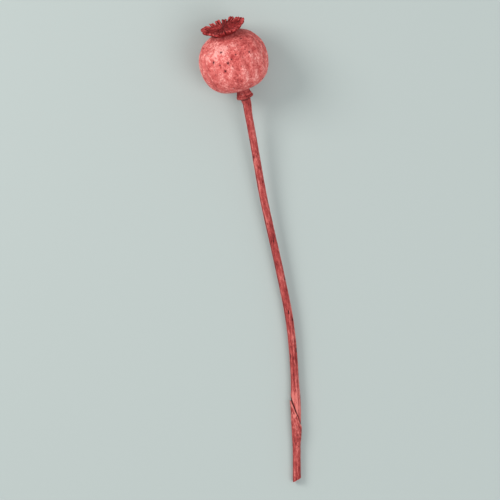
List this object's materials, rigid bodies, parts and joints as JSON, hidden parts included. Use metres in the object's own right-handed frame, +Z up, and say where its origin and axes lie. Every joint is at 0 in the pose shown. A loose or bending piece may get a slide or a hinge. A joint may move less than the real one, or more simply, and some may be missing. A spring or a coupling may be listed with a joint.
{
  "type": "poppy seed head",
  "caption": "Dried, dyed poppy seed head with a ribbed round capsule, a lobed crown and a ringed collar on a slender cut stem, lying on its side as a decoration.",
  "frame": {"origin": "on the surface that the head lies on, under the middle of its whole outline", "axes": "+Y along the stem from the cut end towards the head, +X to the right as seen from above with the head at the top, +Z up from the surface"},
  "size_m": [0.0624, 0.2856, 0.0423],
  "materials": {
    "stem": "matt coral-red dye on dry stem, with fine lengthwise fibres and dark flecks",
    "capsule": "dusty matt coral-red dye on dry husk, mottled lighter and darker, with dark specks",
    "crown": "matt dark-red dye on dry folded rays, paler along the ridges"
  },
  "bodies": {
    "root": {"stem": "stem", "capsule": "capsule", "crown": "crown"}
  },
  "joints": []
}
